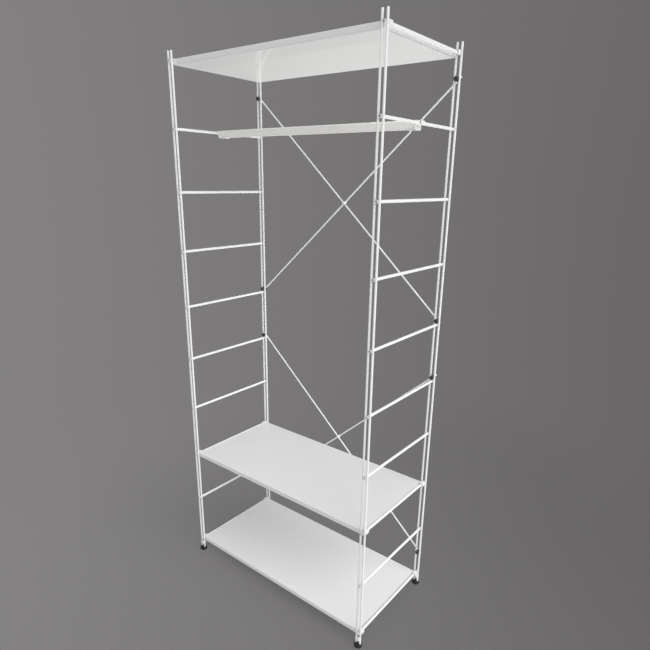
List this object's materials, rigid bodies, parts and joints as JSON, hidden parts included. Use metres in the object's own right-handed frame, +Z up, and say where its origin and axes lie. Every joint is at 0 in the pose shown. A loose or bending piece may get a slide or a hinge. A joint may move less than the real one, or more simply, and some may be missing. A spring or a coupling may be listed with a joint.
{
  "type": "open frame wardrobe",
  "caption": "Free-standing open wardrobe rack: white wire ladder sides, hook-on sheet shelves, a hanger bar under the top shelf, crossed rear braces and black levelling feet.",
  "frame": {"origin": "centre of the overall box, at floor level", "axes": "+X to the right, +Y towards the braced rear, +Z up"},
  "size_m": [0.865, 0.4396, 1.95],
  "materials": {
    "frame_white": "gloss white powder coat",
    "shelf_white": "gloss white powder coat",
    "bar_grey": "satin paint, a warm pale grey",
    "black_plastic": "fine matte",
    "pale_plastic": "fine matte",
    "screw_steel": "bright zinc"
  },
  "bodies": {
    "frame": {"left_front_outer_wire": "frame_white", "left_front_inner_wire": "frame_white", "left_rear_outer_wire": "frame_white", "left_rear_inner_wire": "frame_white", "right_front_outer_wire": "frame_white", "right_front_inner_wire": "frame_white", "right_rear_outer_wire": "frame_white", "right_rear_inner_wire": "frame_white", "left_rung_01": "frame_white", "left_rung_02": "frame_white", "left_rung_03": "frame_white", "left_rung_04": "frame_white", "left_rung_05": "frame_white", "left_rung_06": "frame_white", "left_rung_07": "frame_white", "left_rung_08": "frame_white", "left_rung_09": "frame_white", "left_rung_10": "frame_white", "right_rung_01": "frame_white", "right_rung_02": "frame_white", "right_rung_03": "frame_white", "right_rung_04": "frame_white", "right_rung_05": "frame_white", "right_rung_06": "frame_white", "right_rung_07": "frame_white", "right_rung_08": "frame_white", "right_rung_09": "frame_white", "right_rung_10": "frame_white", "upper_brace_falling_rod": "frame_white", "upper_brace_rising_rod": "frame_white", "lower_brace_falling_rod": "frame_white", "lower_brace_rising_rod": "frame_white", "upper_brace_clip": "frame_white", "lower_brace_clip": "frame_white", "brace_clamps": "black_plastic", "brace_clamp_screws": "screw_steel", "foot_nut_blocks": "frame_white"},
    "bottom_shelf": {"bottom_shelf_pan": "shelf_white", "bottom_shelf_underside": "shelf_white", "bottom_shelf_left_rail": "shelf_white", "bottom_shelf_right_rail": "shelf_white"},
    "middle_shelf": {"middle_shelf_pan": "shelf_white", "middle_shelf_underside": "shelf_white", "middle_shelf_left_rail": "shelf_white", "middle_shelf_right_rail": "shelf_white"},
    "top_shelf": {"top_shelf_pan": "shelf_white", "top_shelf_underside": "shelf_white", "top_shelf_left_rail": "shelf_white", "top_shelf_right_rail": "shelf_white"},
    "hanger_bar": {"hanger_tube": "bar_grey", "hanger_left_bracket": "shelf_white", "hanger_right_bracket": "shelf_white", "hanger_left_plug": "pale_plastic", "hanger_right_plug": "pale_plastic", "hanger_screws": "screw_steel"},
    "levelling_left_front_foot": {"left_front_foot": "black_plastic"},
    "levelling_left_rear_foot": {"left_rear_foot": "black_plastic"},
    "levelling_right_front_foot": {"right_front_foot": "black_plastic"},
    "levelling_right_rear_foot": {"right_rear_foot": "black_plastic"}
  },
  "joints": [
    {"name": "bottom_shelf_lift", "type": "slide", "parent": "frame", "child": "bottom_shelf", "axis": [0, 0, 1], "range_m": [0, 0.06]},
    {"name": "middle_shelf_lift", "type": "slide", "parent": "frame", "child": "middle_shelf", "axis": [0, 0, 1], "range_m": [0, 0.06]},
    {"name": "top_shelf_lift", "type": "slide", "parent": "frame", "child": "top_shelf", "axis": [0, 0, 1], "range_m": [0, 0.06]},
    {"name": "hanger_bar_slide", "type": "slide", "parent": "frame", "child": "hanger_bar", "axis": [0, 1, 0], "range_m": [-0.15, 0.15]},
    {"name": "left_front_foot_screw", "type": "slide", "parent": "frame", "child": "levelling_left_front_foot", "axis": [0, 0, -1], "range_m": [0, 0.008]},
    {"name": "left_rear_foot_screw", "type": "slide", "parent": "frame", "child": "levelling_left_rear_foot", "axis": [0, 0, -1], "range_m": [0, 0.008]},
    {"name": "right_front_foot_screw", "type": "slide", "parent": "frame", "child": "levelling_right_front_foot", "axis": [0, 0, -1], "range_m": [0, 0.008]},
    {"name": "right_rear_foot_screw", "type": "slide", "parent": "frame", "child": "levelling_right_rear_foot", "axis": [0, 0, -1], "range_m": [0, 0.008]}
  ]
}
